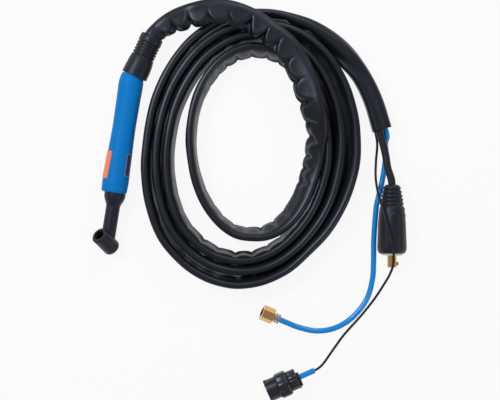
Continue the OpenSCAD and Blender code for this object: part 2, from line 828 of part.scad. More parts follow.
module trigger() {
    outer = [for (s = [trigger_s, trigger_s + trigger_len / 2, trigger_s + trigger_len])
        [handle_r(s) + trigger_proud, s]];
    inner_x = trigger_w / 2 - ear_t;
    color(orange) in_handle() difference() {
        union() {
            intersection() {
                rotate_extrude() polygon(concat(
                    [[0, trigger_s]], outer, [[0, trigger_s + trigger_len]]
                ));
                difference() {
                    block(
                        [-trigger_w / 2, trigger_skirt_y, trigger_s],
                        [trigger_w / 2, far, trigger_s + trigger_len]
                    );
                    block(
                        [-inner_x, 0, trigger_s + ear_t],
                        [inner_x, trigger_roof_y, trigger_s + trigger_len - ear_t]
                    );
                }
            }
            for (x = [-trigger_w / 2, inner_x]) {
                translate([x, pin_y, pin_s]) rotate([0, 90, 0]) cylinder(h = ear_t, r = ear_r);
                block([x, pin_y, pin_s - ear_r], [x + ear_t, trigger_skirt_y + 1, pin_s + ear_r]);
            }
            translate([0, plunger_top + press_gap, plunger_s]) rotate([-90, 0, 0])
                cylinder(h = trigger_roof_y + 0.5 - plunger_top, r = 1.5);
            block(
                [-tab_half_w, tab_y - tab_t, trigger_s + trigger_len - ear_t],
                [tab_half_w, tab_y, trigger_s + trigger_len + trigger_front_gap + tab_reach]
            );
        }
        translate([-far / 2, pin_y, pin_s]) rotate([0, 90, 0])
            cylinder(h = far, r = trigger_pin_r + pin_running_gap);
    }
}

module trigger_pin() {
    color(steel) in_handle() translate([-pin_half, pin_y, pin_s]) rotate([0, 90, 0])
        cylinder(h = 2 * pin_half, r = trigger_pin_r);
}

module trigger_spring() {
    color(steel) in_handle() translate([0, shelf_y, spring_s]) rotate([-90, 0, 0])
        pipe(0, trigger_roof_y - shelf_y, spring_r, spring_bore_r);
}

// ---- Sheath ----

module sheath_tie() {
    color(nylon) in_boot() pipe(tie_d, tie_d + tie_w, boot_bore_r, sheath_corner_r);
}

module sheath_lead() {
    color(black) flat_tube(lead_route, boot_dir, coil_dir(coil_first));
}

module sheath_coil() {
    color(black) swept(coil_rings);
}

module sheath_tail() {
    color(black) flat_tube(tail_route, coil_dir(coil_last), unit(mouth_dir));
}

// ---- Power end ----

module power_cable() {
    color(black) round_tube(power_route, power_cable_d / 2);
}

module plug_boot() {
    color(black) at_plug() difference() {
        rotate_extrude() polygon([
            [0, 0], [8.6, 0], [11.5, 3], [16.6, rib_first_d + rib_count * rib_pitch], [17.6, 36],
            [plug_r - 1, 0.55 * plug_len], [plug_r, 0.85 * plug_len], [plug_r, 0.95 * plug_len],
            [plug_r - 2, plug_len], [0, plug_len]
        ]);
        rod(-1, plug_core_d + eps, power_cable_d / 2 + 0.1);
        rod(plug_core_d, plug_len + 1, plug_core_r);
        rod(plug_len - plug_recess, plug_len + 1, plug_recess_r);
        for (i = [0 : rib_count - 1]) {
            d = rib_first_d + i * rib_pitch;
            pipe(d, d + rib_w, far / 2, 10.8 + i * 1.1);
        }
    }
}

module plug_pin() {
    root_d = plug_len - plug_recess;
    color(brass) at_plug() difference() {
        union() {
            rod(plug_core_d, root_d, plug_core_r);
            rod(root_d - 1, plug_len + plug_pin_out, plug_pin_d / 2);
            intersection() {
                rod(plug_len + 12, plug_len + 12 + cam_len, plug_pin_d / 2 + cam_out);
                block([-2.5, 0, 0], [2.5, far, 3 * far]);
            }
        }
        rod(plug_core_d - 1, plug_core_d + 30, power_cable_d / 2 - 1);
        translate([0, 0, plug_core_d + 15]) rotate([0, -90, 0]) rod(0, far / 2, 4);
    }
}

module plug_sleeve() {
    color(copper) at_plug() pipe(plug_core_d, plug_core_d + 30, power_cable_d / 2 - 1, power_cable_d / 2 - 2);
}

module plug_screw() {
    color(steel) at_plug() translate([0, 0, plug_core_d + 15]) rotate([0, -90, 0]) difference() {
        intersection() {
            rod(power_cable_d / 2 - 1, plug_core_r, 4);
            rotate([0, 90, 0]) difference() {
                rod(-far, far, plug_core_r);
                rod(-far, far, power_cable_d / 2 - 1);
            }
        }
        translate([0, 0, plug_core_r - 3.2]) cylinder(h = 5, r = 2.3, $fn = 6);
    }
}

// ---- Gas end ----

module gas_hose() {
    color(blue) round_tube(gas_route, gas_hose_d / 2);
}

module hose_ferrule() {
    color(steel) at_nut() difference() {
        union() {
            rod(-ferrule_len - ferrule_gap, -ferrule_gap, gas_hose_d / 2 + 0.8);
            for (d = [-ferrule_len - ferrule_gap + 1.2, -ferrule_gap - 3.4]) {
                block([-1.2, -gas_hose_d / 2 - 2.8, d], [1.2, gas_hose_d / 2 + 2.8, d + 2.2]);
            }
        }
        rod(-far, far, nipple_r);
    }
}

module hose_nipple() {
    color(brass) at_nut() difference() {
        union() {
            rod(-ferrule_len - ferrule_gap, -ferrule_gap, nipple_r);
            rod(-ferrule_gap, nut_floor, nipple_neck_r);
            rod(nut_floor + 0.1, nut_floor + 2.2, nipple_flange_r);
            rod(nut_floor - 1, nut_floor + 1, nipple_neck_r);
        }
        rod(-far, far, 1.6);
    }
}

module gas_nut() {
    color(brass) at_nut() difference() {
        intersection() {
            rotate([0, 0, 30]) cylinder(h = nut_len, r = nut_af / 2 / cos(30), $fn = 6);
            rotate_extrude() polygon([
                [0, 0], [nut_af / 2, 0], [nut_af / 2 + 1.6, 1], [nut_af / 2 + 1.6, nut_len - 1],
                [nut_af / 2, nut_len], [0, nut_len]
            ]);
        }
        rod(-1, nut_len, nipple_neck_r + pin_running_gap);
        rod(nut_floor, nut_len, nipple_flange_r + slide_gap);
        rod(nut_floor + nut_chamber_len, nut_len + 1, nut_thread_r);
    }
}

module nut_seal() {
    color(black) at_nut() pipe(nut_floor + 2.2, nut_floor + 3.6, nipple_flange_r, 2.4);
}

// ---- Control end ----

module control_cable() {
    color(black) round_tube(control_route, control_cable_d / 2);
}

module cable_sleeve() {
    color(blue) at_connector() pipe(-cable_sleeve_len, 0, cable_sleeve_r, control_cable_d / 2 + 0.05);
}

module clamp_places() {
    for (x = [-clamp_screw_x, clamp_screw_x]) {
        translate([x, 0, saddle_len / 2]) rotate([-90, 0, 0]) children();
    }
}

module backshell() {
    color(black) at_connector() difference() {
        union() {
            rotate_extrude() polygon([
                [0, 3], [7, 3], [backshell_r - 1, 5], [backshell_r, 7],
                [backshell_r, backshell_len], [0, backshell_len]
            ]);
            rod(0, 5, 7.5);
            block([-saddle_w / 2, 0, 0], [saddle_w / 2, saddle_y, saddle_len]);
        }
        rod(saddle_len, backshell_len + 1, backshell_r - 2);
        block([-far, saddle_y, -1], [far, far, saddle_len + 0.3]);
        clamp_places() rod(4, far, clamp_screw_r);
    }
}

module clamp_saddle() {
    color(black) at_connector() difference() {
        block([-saddle_w / 2, saddle_y, 0], [saddle_w / 2, saddle_y + saddle_t, saddle_len]);
        clamp_places() rod(0, far, clamp_screw_r);
    }
}

module clamp_screws() {
    color(steel) at_connector() clamp_places() {
        rod(4, saddle_y + saddle_t, clamp_screw_r);
        rod(saddle_y + saddle_t, saddle_y + saddle_t + clamp_head_h, clamp_head_r);
    }
}

module connector_shell() {
    step_d = coupling_d + coupling_len + 0.3;
    color(black) at_connector() difference() {
        union() {
            rod(backshell_len, step_d, coupling_bore_r - pin_running_gap);
            rod(step_d, connector_len, connector_r);
        }
        rod(connector_len - cup_depth, connector_len + 1, connector_cup_r);
        rod(insert_d, connector_len, insert_r);
        rod(backshell_len - 1, connector_len, insert_r - 2);
    }
}

contact_places = concat([[0, 0]], [for (i = [0 : outer_contacts - 1])
    [contact_ring_r * cos(i * 360 / outer_contacts), contact_ring_r * sin(i * 360 / outer_contacts)]]);

module contact_insert() {
    color(black) at_connector() difference() {
        rod(insert_d, insert_d + insert_len, insert_r);
        for (p = contact_places) {
            translate([p[0], p[1], 0]) rod(insert_d - 1, insert_d + insert_len + 1, contact_r);
        }
    }
}

module contacts() {
    color(brass) at_connector() for (p = contact_places) {
        translate([p[0], p[1], 0]) pipe(insert_d, insert_d + insert_len - 0.5, contact_r, contact_r / 2);
    }
}

module coupling_ring() {
    lobes = 6;
    color(black) at_connector() difference() {
        union() {
            rod(coupling_d, coupling_d + coupling_len, coupling_r - 1.6);
            intersection() {
                rod(coupling_d + 1.5, coupling_d + coupling_len - 1.5, coupling_r);
                union() {
                    for (i = [0 : lobes - 1]) rotate([0, 0, i * 360 / lobes])
                        block([0, -5.5, coupling_d], [far / 2, 5.5, coupling_d + coupling_len]);
                }
            }
        }
        rod(coupling_d - 1, coupling_d + coupling_len + 1, coupling_bore_r);
    }
}

bend_boot();
swivel_ball();
sheath_tie();
sheath_lead();
sheath_coil();
sheath_tail();
power_cable();
plug_boot();
plug_pin();
plug_sleeve();
plug_screw();
gas_hose();
hose_ferrule();
hose_nipple();
gas_nut();
nut_seal();
control_cable();
cable_sleeve();
backshell();
clamp_saddle();
clamp_screws();
connector_shell();
contact_insert();
contacts();
coupling_ring();
front_seat_ring();
rear_seat_ring();
handle_upper();
handle_lower();
handle_screws();
rating_plate();
head_cover();
torch_body();
neck_tube();
lead_block();
power_lead();
gas_tube();
switch_lead();
switch_case();
switch_plunger();
trigger();
trigger_pin();
trigger_spring();
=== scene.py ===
"""TIG torch with its cable set: the looks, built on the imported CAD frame."""

import math

import bmesh
import bpy
from mathutils import Matrix, Vector, noise


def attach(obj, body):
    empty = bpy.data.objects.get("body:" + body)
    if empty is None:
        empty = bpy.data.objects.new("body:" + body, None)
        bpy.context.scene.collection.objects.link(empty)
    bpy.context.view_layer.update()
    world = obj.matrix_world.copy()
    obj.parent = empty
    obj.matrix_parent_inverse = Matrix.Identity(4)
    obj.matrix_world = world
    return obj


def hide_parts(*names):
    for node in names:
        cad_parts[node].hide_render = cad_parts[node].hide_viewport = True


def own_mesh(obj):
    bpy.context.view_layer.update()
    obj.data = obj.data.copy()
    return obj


bl_info = {
    "name": "TIG Torch",
    "version": (1, 0, 0),
    "blender": (4, 5, 0),
    "location": "View3D > Sidebar > TIG Torch",
    "description": "Builds an air-cooled TIG torch with its sheath, plugs and hose",
    "category": "Add Mesh",
}

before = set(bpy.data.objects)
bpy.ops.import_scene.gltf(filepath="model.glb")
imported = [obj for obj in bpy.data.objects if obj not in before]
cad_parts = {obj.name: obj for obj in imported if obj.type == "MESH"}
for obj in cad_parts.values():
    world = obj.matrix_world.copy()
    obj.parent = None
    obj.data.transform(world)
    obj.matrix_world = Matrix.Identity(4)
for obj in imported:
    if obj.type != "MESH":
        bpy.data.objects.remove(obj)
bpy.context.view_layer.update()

MM = 0.001

# The ball joint's middle and the height at which the handset lies, in millimetres
BALL_Y = 115.771
BED_Z = 18.5

# The coil: its middle, height, tilts and radii by turn, and how much longer than wide it is
COIL_MIDDLE = (181, 48)
COIL_HEIGHT = 17
COIL_TILTS = ((1, 9), (1.4, 1))
COIL_STRETCH = 21.4
RINGS_PER_TURN = 24
COIL_FIRST_RING = 8
COIL_LAST_RING = 95
COIL_RADII = (
    (0.25, 109), (0.5, 96), (0.625, 99), (0.75, 105), (1, 119), (1.25, 127), (1.375, 126.5), (1.5, 130.5),
    (1.625, 137.5), (1.75, 136.5), (1.875, 138), (2, 137.5), (2.25, 142), (2.375, 141), (2.5, 145),
    (2.625, 152.2), (2.75, 151.3), (2.875, 153), (3, 153), (3.125, 159.5), (3.25, 162.5), (3.375, 154), (3.5, 163.5),
    (3.625, 170), (3.75, 165.2), (3.875, 169.5), (4, 168),
)


def turned(degrees, axis):
    """A turn about an axis, as a matrix."""
    return Matrix.Rotation(math.radians(degrees), 4, axis)


# The frames of the parts, each with its own axis along z
BALL_PLACE = Matrix.Translation((0, BALL_Y, BED_Z))
HANDLE = BALL_PLACE @ turned(-66, "Y") @ turned(90, "X")
BOOT = BALL_PLACE @ turned(-16, "Z") @ turned(-90, "X")
PLUG = Matrix.Translation((383, 31, 20.5)) @ turned(-81, "Z") @ turned(90, "Y")
NUT = Matrix.Translation((248, -178.5, 9.5)) @ turned(165, "Z") @ turned(80, "Y")
CONNECTOR = Matrix.Translation((297.7, -255, 18.5)) @ turned(213, "Z") @ turned(90, "Y")


def on_axis(place, distance):
    """A point on a frame's own axis, in millimetres."""
    return place @ Vector((0, 0, distance))


def between(table, at):
    """The value at a place in a table of (place, value), straight between its lines."""
    for (t0, v0), (t1, v1) in zip(table, table[1:]):
        if at <= t1:
            return v0 + (v1 - v0) * max(0.0, at - t0) / (t1 - t0)
    return table[-1][1]


def coil_point(ring):
    """The middle of the sheath at a ring of the coil."""
    turns = ring / RINGS_PER_TURN
    radius = between(COIL_RADII, turns)
    tilt = math.radians(between(COIL_TILTS, turns))
    x = (radius - COIL_STRETCH) * math.sin(math.tau * turns)
    y = (radius + COIL_STRETCH) * math.cos(math.tau * turns)
    return Vector((
        COIL_MIDDLE[0] + x * math.cos(tilt) - y * math.sin(tilt),
        COIL_MIDDLE[1] + x * math.sin(tilt) + y * math.cos(tilt),
        COIL_HEIGHT,
    ))


# The sheath's open end, the way out of it and the way to its right
MOUTH = Vector((357, 106, 12.5))
MOUTH_OUT = Vector((0.435, -0.9, 0))
MOUTH_SIDE = Vector((0.9, 0.435, 0))


def from_mouth(side, height, out=0.0):
    """A point by the sheath's open end: to its right, above the bench and out of the mouth."""
    place = MOUTH + MOUTH_SIDE * side + MOUTH_OUT * out
    return Vector((place.x, place.y, height))


# The sheath's stations: place, half width, half thickness, lean from flat in degrees, depth of
# the folds on its inner side and their distance
SHEATH_LEAD = (
    (on_axis(BOOT, 37), 11.4, 11.4, 0, 0, 16),
    (on_axis(BOOT, 71), 11.4, 11.4, 0, 0.4, 16),
    (Vector((28.8, 194.4, 19)), 13.5, 10, 0, 1.8, 24),
    (Vector((40.2, 204.4, 24)), 14.5, 8, 0, 3.8, 27),
    (Vector((54.3, 212.2, 33)), 16, 6.4, 0, 5.8, 28),
    (Vector((72.4, 219.6, 41.4)), 17, 6.4, 0, 6.4, 29),
    (Vector((95, 228, 42.4)), 17, 6.4, 0, 5.6, 28),
    (Vector((122, 231, 42.4)), 17, 6.4, 0, 6.2, 27),
    (Vector((151, 225, 42.4)), 17, 6.4, 0, 6.2, 27),
    (Vector((180.5, 212, 42.4)), 17.5, 6.4, 0, 5.4, 28),
    (Vector((206, 195.8, 42.9)), 17.6, 6.4, 3, 3.6, 29),
    (Vector((224.6, 175.8, 43.4)), 18, 6.4, 8, 3.2, 30),
    (Vector((236.6, 157.2, 44.9)), 18.4, 6.4, 14, 3.4, 30),
    (Vector((245.9, 139.5, 45.4)), 18.4, 6.4, 20, 4.6, 30),
    (Vector((253.4, 122.2, 44.9)), 18, 6.4, 26, 5.6, 29),
    (Vector((260.6, 106, 41.9)), 17.5, 6.4, 32, 5.6, 28),
    (Vector((267, 88, 32.9)), 17, 6.4, 37, 5.0, 27),
    (Vector((268.4, 70, 22.5)), 17, 6.4, 41, 4.4, 26),
    (Vector((269.4, 50, 18.5)), 17, 6.4, 42, 4.0, 24),
    (coil_point(7), 17, 6.4, 42, 3.6, 22),
)


# How far the strands of the coil lean from flat: the first one by turn, then on edge, less at the ends
FIRST_TURN = 1.3
ON_EDGE = 78
FIRST_TURN_LEANS = (
    (0.25, 42), (0.4, 52), (0.5, 67), (0.6, 75), (0.75, 82), (0.88, 74), (1.0, 66), (1.15, ON_EDGE),
    (FIRST_TURN, ON_EDGE),
)
END_TIP = 7

# Where two later strands tip over further: turn, degrees and half the stretch
TIPPED = ((3.3, 24, 0.17), (2.28, 14, 0.15))

# The strands of the first turns are folded deep over the coil's ends, the later ones hardly
DEEP_FOLDS_END = 1.75


def bump(at, middle, half):
    """A smooth hill of height one round a place."""
    return math.exp(-(((at - middle) / half) ** 2))


def coil_station(ring):
    """One strand of the coil: it stands on edge at the sides and tips back over the ends."""
    turns = ring / RINGS_PER_TURN
    ends = math.cos(math.tau * turns)
    if turns < FIRST_TURN:
        lean, pitch = between(FIRST_TURN_LEANS, turns), 21
    else:
        tipped = sum(degrees * bump(turns, at, half) for at, degrees, half in TIPPED)
        lean, pitch = ON_EDGE - END_TIP * abs(ends) - tipped, 27
    fold = 0.3 + 3.4 * ends**4 if turns < DEEP_FOLDS_END else 0.1 + ends**4
    return coil_point(ring), 17, 6.6, lean, fold, pitch + 24 * (1 - abs(ends)) ** 2


SHEATH_COIL = tuple(coil_station(ring) for ring in range(COIL_FIRST_RING, COIL_LAST_RING + 1))
SHEATH_TAIL = (
    (Vector((162, 236, 17)), 17, 6.4, 74, 2.6, 30),
    (Vector((185, 238.5, 17.2)), 17, 6.4, 74, 2.6, 36),
    (Vector((208, 236, 16.5)), 16, 7.5, 70, 2.4, 40),
    (Vector((240.6, 228, 14.6)), 15.3, 9.5, 58, 1.4, 40),
    (Vector((270, 213, 13.8)), 16, 11, 40, 0, 36),
    (Vector((295.4, 195.6, 13.8)), 15, 12, 20, 0, 44),
    (Vector((317.6, 174.6, 12.8)), 13.4, 12.5, 0, 0, 44),
    (Vector((338.6, 145, 12.5)), 13.5, 12.5, 0, 0, 30),
    (from_mouth(0.8, 12.5, 0.8), 14, 12.5, 0, 0, 30),
)

# The routes of the three cables, from inside the sheath to their plugs
POWER_ROUTE = (
    from_mouth(-4, 16, -16), from_mouth(-4, 16), from_mouth(-4, 16, 11), Vector((367, 74, 17)),
    Vector((373.8, 53, 19)), on_axis(PLUG, -8) + Vector((-1, 0, 0)), on_axis(PLUG, 0), on_axis(PLUG, 28),
)
GAS_ROUTE = (
    from_mouth(6, 11, -16), from_mouth(5.8, 9.8), from_mouth(5.2, 8.2, 12), Vector((366.4, 87, 6)),
    Vector((369.2, 76, 4.2)), Vector((370.5, 56, 4.2)), Vector((370, 27, 4.2)), Vector((368.5, 10, 4.2)),
    Vector((367.8, -4, 4.2)), Vector((371.6, -50, 4.2)), Vector((376, -80, 4.2)), Vector((378.3, -105, 4.2)),
    Vector((374.6, -134, 4.2)), Vector((358.5, -162.5, 4.2)), Vector((337.5, -180.5, 4.2)),
    Vector((312.5, -189, 4.2)), Vector((286.5, -188, 4.6)), on_axis(NUT, -19.3), on_axis(NUT, -10.3),
)
CONTROL_ROUTE = (
    from_mouth(-9, 8, -16), from_mouth(-9, 7), from_mouth(-9, 7, 5), Vector((355.5, 84, 4)),
    Vector((357.5, 60, 3)), Vector((360, 38, 9)), Vector((365, 18, 21)), Vector((372, 0, 34)),
    Vector((381, -21, 42)), Vector((390, -42, 44)), Vector((396, -58, 44)), Vector((399, -70, 42)),
    Vector((400, -82, 37)), Vector((398, -95, 29)), Vector((394, -108, 20)), Vector((386, -130, 6)),
    Vector((372, -156, 2.4)), Vector((350.5, -189.5, 2.4)), Vector((337.2, -214.5, 7)), Vector((327, -233, 14)),
    on_axis(CONNECTOR, -26.5), on_axis(CONNECTOR, -22.5), on_axis(CONNECTOR, -1),
)

# What runs inside the handle: name, its CAD solid, diameter, finish, slot and points in the handle's frame
INNER_LEADS = (
    ("inner_power_lead", "power_lead", 0.0076, "bright_copper", "copper", (
        (-2.6, 0, 15.2), (-2.6, 0, 26), (-2.487, -0.914, 48), (-2.487, -1.827, 66), (-2.487, -1.827, 82),
        (-2.487, -1.827, 90),
    )),
    ("inner_gas_tube", "gas_tube", 0.0046, "cable_rubber", "rubber_black", (
        (4.1, 0, 15.2), (4.1, 0, 26), (5.513, -0.914, 48), (5.513, -1.827, 66), (5.513, -1.827, 82),
        (5.513, -1.827, 90),
    )),
    ("inner_switch_lead", "switch_lead", 0.0032, "cable_rubber", "rubber_black", (
        (1.4, 3.9, 15.2), (1.4, 3.9, 26), (1, 4.6, 48), (0.5, 5.2, 70), (0, 6.4, 92), (0, 7.4, 107), (0, 7.4, 110),
    )),
)


# ---- Settings ----


class SheathSettings(bpy.types.PropertyGroup):
    """The soft sheath round the cables."""

    flatness: bpy.props.FloatProperty(
        name="Flatness", description="Thickness of the sheath, of what its solid allows",
        default=1.0, min=0.5, max=1.1, subtype="FACTOR",
    )
    folds: bpy.props.FloatProperty(
        name="Folds", description="Depth of the folds on the inside of the bends, of what it has at rest",
        default=1.0, min=0.0, max=1.3, subtype="FACTOR",
    )
    ring_step: bpy.props.FloatProperty(
        name="Ring step", description="Distance from one ring of the mesh to the next",
        default=0.0016, min=0.001, max=0.01, subtype="DISTANCE", unit="LENGTH",
    )
    colour: bpy.props.FloatVectorProperty(
        name="Colour", description="Colour of the sheath's cloth",
        default=(0.003, 0.0035, 0.006), min=0.0, max=1.0, size=3, subtype="COLOR",
    )


class CableSettings(bpy.types.PropertyGroup):
    """The three cables that leave the sheath."""

    power_diameter: bpy.props.FloatProperty(
        name="Power cable", description="Diameter of the power cable",
        default=0.0107, min=0.006, max=0.014, subtype="DISTANCE", unit="LENGTH",
    )
    gas_diameter: bpy.props.FloatProperty(
        name="Gas hose", description="Diameter of the gas hose",
        default=0.008, min=0.005, max=0.01, subtype="DISTANCE", unit="LENGTH",
    )
    control_diameter: bpy.props.FloatProperty(
        name="Control cable", description="Diameter of the control cable",
        default=0.0035, min=0.002, max=0.006, subtype="DISTANCE", unit="LENGTH",
    )
    hose_colour: bpy.props.FloatVectorProperty(
        name="Hose colour", description="Colour of the gas hose",
        default=(0.0, 0.265, 0.76), min=0.0, max=1.0, size=3, subtype="COLOR",
    )


class HandsetSettings(bpy.types.PropertyGroup):
    """The handle, its trigger and the head."""

    handle_colour: bpy.props.FloatVectorProperty(
        name="Handle", description="Colour of the moulded handle",
        default=(0.0, 0.185, 0.56), min=0.0, max=1.0, size=3, subtype="COLOR",
    )
    trigger_colour: bpy.props.FloatVectorProperty(
        name="Trigger", description="Colour of the trigger",
        default=(0.93, 0.25, 0.12), min=0.0, max=1.0, size=3, subtype="COLOR",
    )
    rubber_colour: bpy.props.FloatVectorProperty(
        name="Rubber", description="Colour of the rubber on the head and the boots",
        default=(0.009, 0.010, 0.0145), min=0.0, max=1.0, size=3, subtype="COLOR",
    )


class StageSettings(bpy.types.PropertyGroup):
    """Bench, lights and camera."""

    view_height: bpy.props.FloatProperty(
        name="View height", description="Height of the camera over the bench",
        default=1.8, min=0.5, max=5.0, subtype="DISTANCE", unit="LENGTH",
    )
    view_width: bpy.props.FloatProperty(
        name="View width", description="Width that the camera takes in",
        default=0.7, min=0.3, max=2.0, subtype="DISTANCE", unit="LENGTH",
    )
    key_power: bpy.props.FloatProperty(
        name="Key light", description="Power of the key light",
        default=17.0, min=0.0, max=100.0, unit="POWER",
    )
    room_light: bpy.props.FloatProperty(
        name="Room light", description="Strength of the even light of the room",
        default=0.35, min=0.0, max=3.0,
    )


# ---- Materials ----


GRAIN_SIZES = (900.0, 30.0)
METAL_SIZES = (500.0, 60.0)
RELIEF_DEPTH = 0.0002
WORN_ROUGHNESS = 0.85


def socket(group, name, default=None):
    """A number that goes into a node group, or comes out of it where it has no default."""
    made = group.interface.new_socket(
        name, in_out="OUTPUT" if default is None else "INPUT", socket_type="NodeSocketFloat"
    )
    if default is not None:
        made.default_value = default


def node(tree, kind, inputs=None, **values):
    """A shader node with its values, whose inputs are set or linked by name."""
    made = tree.nodes.new(kind)
    for name, value in values.items():
        setattr(made, name, value)
    for name, value in (inputs or {}).items():
        if isinstance(value, bpy.types.NodeSocket):
            tree.links.new(value, made.inputs[name])
        else:
            made.inputs[name].default_value = value
    return made


def moulded_grain():
    """Fine grain of a moulded surface and the slow mottling of its tone."""
    group = bpy.data.node_groups.new("moulded_grain", "ShaderNodeTree")
    socket(group, "Grain size", GRAIN_SIZES[0])
    socket(group, "Mottle size", GRAIN_SIZES[1])
    socket(group, "Height")
    socket(group, "Mottle")
    ends = node(group, "NodeGroupInput").outputs
    place = node(group, "ShaderNodeTexCoord").outputs["Object"]
    fine = node(group, "ShaderNodeTexNoise", {"Vector": place, "Scale": ends["Grain size"], "Detail": 3.0})
    slow = node(group, "ShaderNodeTexNoise", {"Vector": place, "Scale": ends["Mottle size"], "Detail": 4.0})
    node(group, "NodeGroupOutput", {"Height": fine.outputs["Fac"], "Mottle": slow.outputs["Fac"]})


def handling_marks():
    """Faint scuffs and dust where a piece has been handled, as a mask."""
    group = bpy.data.node_groups.new("handling_marks", "ShaderNodeTree")
    socket(group, "Scale", 60.0)
    socket(group, "Amount", 0.3)
    socket(group, "Mask")
    ends = node(group, "NodeGroupInput").outputs
    place = node(group, "ShaderNodeTexCoord").outputs["Object"]
    streaks = node(group, "ShaderNodeMapping", {"Vector": place, "Scale": (1.0, 0.25, 1.0)})
    marks = node(group, "ShaderNodeTexNoise", {
        "Vector": streaks.outputs["Vector"], "Scale": ends["Scale"], "Detail": 6.0, "Roughness": 0.65,
    })
    kept = node(group, "ShaderNodeMapRange", {
        "Value": marks.outputs["Fac"], "From Min": 0.52, "From Max": 0.75, "To Min": 0.0, "To Max": ends["Amount"],
    })
    node(group, "NodeGroupOutput", {"Mask": kept.outputs["Result"]})


def surface(name, colour, roughness, grain=GRAIN_SIZES, relief=0.2, marks=0.25, lift=1.35, **sockets):
    """A moulded, rubbery or machined surface: mottled tone, grain in its relief and worn patches."""
    made = bpy.data.materials.new(name)
    made.use_nodes = True
    tree = made.node_tree
    tree.nodes.clear()
    skin = node(tree, "ShaderNodeGroup", node_tree=bpy.data.node_groups["moulded_grain"])
    skin.inputs["Grain size"].default_value, skin.inputs["Mottle size"].default_value = grain
    wear = node(tree, "ShaderNodeGroup", node_tree=bpy.data.node_groups["handling_marks"])
    wear.inputs["Amount"].default_value = marks
    plain, pale = (*colour, 1.0), (*[min(1.0, c * lift + 0.004) for c in colour], 1.0)
    toned = node(tree, "ShaderNodeMix", {"Factor": skin.outputs["Mottle"]}, data_type="RGBA")
    for side, value in (("A", plain), ("B", pale)):
        [s for s in toned.inputs if s.name == side and s.type == "RGBA"][0].default_value = value
    dull = node(tree, "ShaderNodeMapRange", {
        "Value": wear.outputs["Mask"], "From Min": 0.0, "From Max": 1.0, "To Min": roughness,
        "To Max": WORN_ROUGHNESS,
    })
    raised = node(tree, "ShaderNodeBump", {
        "Strength": relief, "Distance": RELIEF_DEPTH, "Height": skin.outputs["Height"],
    })
    shader = node(tree, "ShaderNodeBsdfPrincipled", {
        "Base Color": [s for s in toned.outputs if s.type == "RGBA"][0],
        "Roughness": dull.outputs["Result"],
        "Normal": raised.outputs["Normal"],
        **sockets,
    })
    node(tree, "ShaderNodeOutputMaterial", {"Surface": shader.outputs["BSDF"]})


def paint(material, *names):
    """Gives CAD nodes a material in place of their plain one."""
    for name in names:
        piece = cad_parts[name]
        if not piece.material_slots:
            piece.data.materials.append(material)
        for held in piece.material_slots:
            held.material = material


# ---- Shapes ----

CORD_STEP = 0.0025
WELD_REACH = 1e-6


def smooth_through(values, along, at):
    """The value at a distance along knots, on one smooth curve through them all."""
    last = len(values) - 1
    i = next((k for k in range(last) if at <= along[k + 1]), last - 1)
    span = along[i + 1] - along[i]

    def slope(k):
        if k == 0:
            return (values[1] - values[0]) / (along[1] - along[0])
        if k == last:
            return (values[last] - values[last - 1]) / (along[last] - along[last - 1])
        return (values[k + 1] - values[k - 1]) / (along[k + 1] - along[k - 1])

    t = (at - along[i]) / span
    return (
        values[i] * (2 * t**3 - 3 * t**2 + 1)
        + slope(i) * (span * (t**3 - 2 * t**2 + t))
        + values[i + 1] * (3 * t**2 - 2 * t**3)
        + slope(i + 1) * (span * (t**3 - t**2))
    )


def distances(points):
    """How far along their line each of some points lies."""
    total, found = 0.0, [0.0]
    for a, b in zip(points, points[1:]):
        total += (b - a).length
        found.append(total)
    return found


def smooth_route(points, step):
    """Points in metres at an even step on the smooth curve through points in millimetres."""
    along = distances(points)
    count = max(2, round(along[-1] * MM / step))
    return [smooth_through(points, along, along[-1] * k / count) * MM for k in range(count + 1)]


def finish_mesh(mesh, name, material, body, sharp=40.0):
    """Turns a bmesh into a piece that rides on a body."""
    bmesh.ops.remove_doubles(mesh, verts=mesh.verts, dist=WELD_REACH)
    bmesh.ops.recalc_face_normals(mesh, faces=mesh.faces)
    limit = math.radians(sharp)
    for edge in mesh.edges:
        edge.smooth = len(edge.link_faces) == 2 and edge.calc_face_angle(math.pi) < limit
    for face in mesh.faces:
        face.smooth = True
    data = bpy.data.meshes.new(name)
    mesh.to_mesh(data)
    mesh.free()
    data.materials.append(material)
    piece = bpy.data.objects.new(name, data)
    bpy.context.scene.collection.objects.link(piece)
    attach(piece, body)
    return piece


def bridge_rings(mesh, rings, cap_last=True):
    """Joins rings of corners into a skin, closed at its first end, and at its last unless told not to."""
    made = [[mesh.verts.new(p) for p in ring] for ring in rings]
    for a, b in zip(made, made[1:]):
        for j in range(len(a)):
            k = (j + 1) % len(a)
            mesh.faces.new((a[j], a[k], b[k], b[j]))
    mesh.faces.new(list(reversed(made[0])))
    if cap_last:
        mesh.faces.new(made[-1])


def revolve(mesh, outline, place, sides=72, shape=None):
    """Turns a closed outline of (radius, distance) about a frame's axis; shape may change a corner."""
    rings = []
    for j in range(sides):
        turn = math.tau * j / sides
        ring = []
        for radius, distance in outline:
            corner = Vector((radius * math.cos(turn), radius * math.sin(turn), distance))
            if shape:
                corner = shape(corner, turn)
            ring.append(mesh.verts.new(place @ corner * MM))
        rings.append(ring)
    for a, b in zip(rings, rings[1:] + rings[:1]):
        for k in range(len(outline)):
            n = (k + 1) % len(outline)
            mesh.faces.new((a[k], a[n], b[n], b[k]))


def refined(outline, step):
    """A closed outline whose straight lines are cut into pieces no longer than a step."""
    found = []
    for (r0, z0), (r1, z1) in zip(outline, outline[1:] + outline[:1]):
        cuts = max(1, math.ceil(math.hypot(r1 - r0, z1 - z0) / step))
        found += [(r0 + (r1 - r0) * k / cuts, z0 + (z1 - z0) * k / cuts) for k in range(cuts)]
    return found


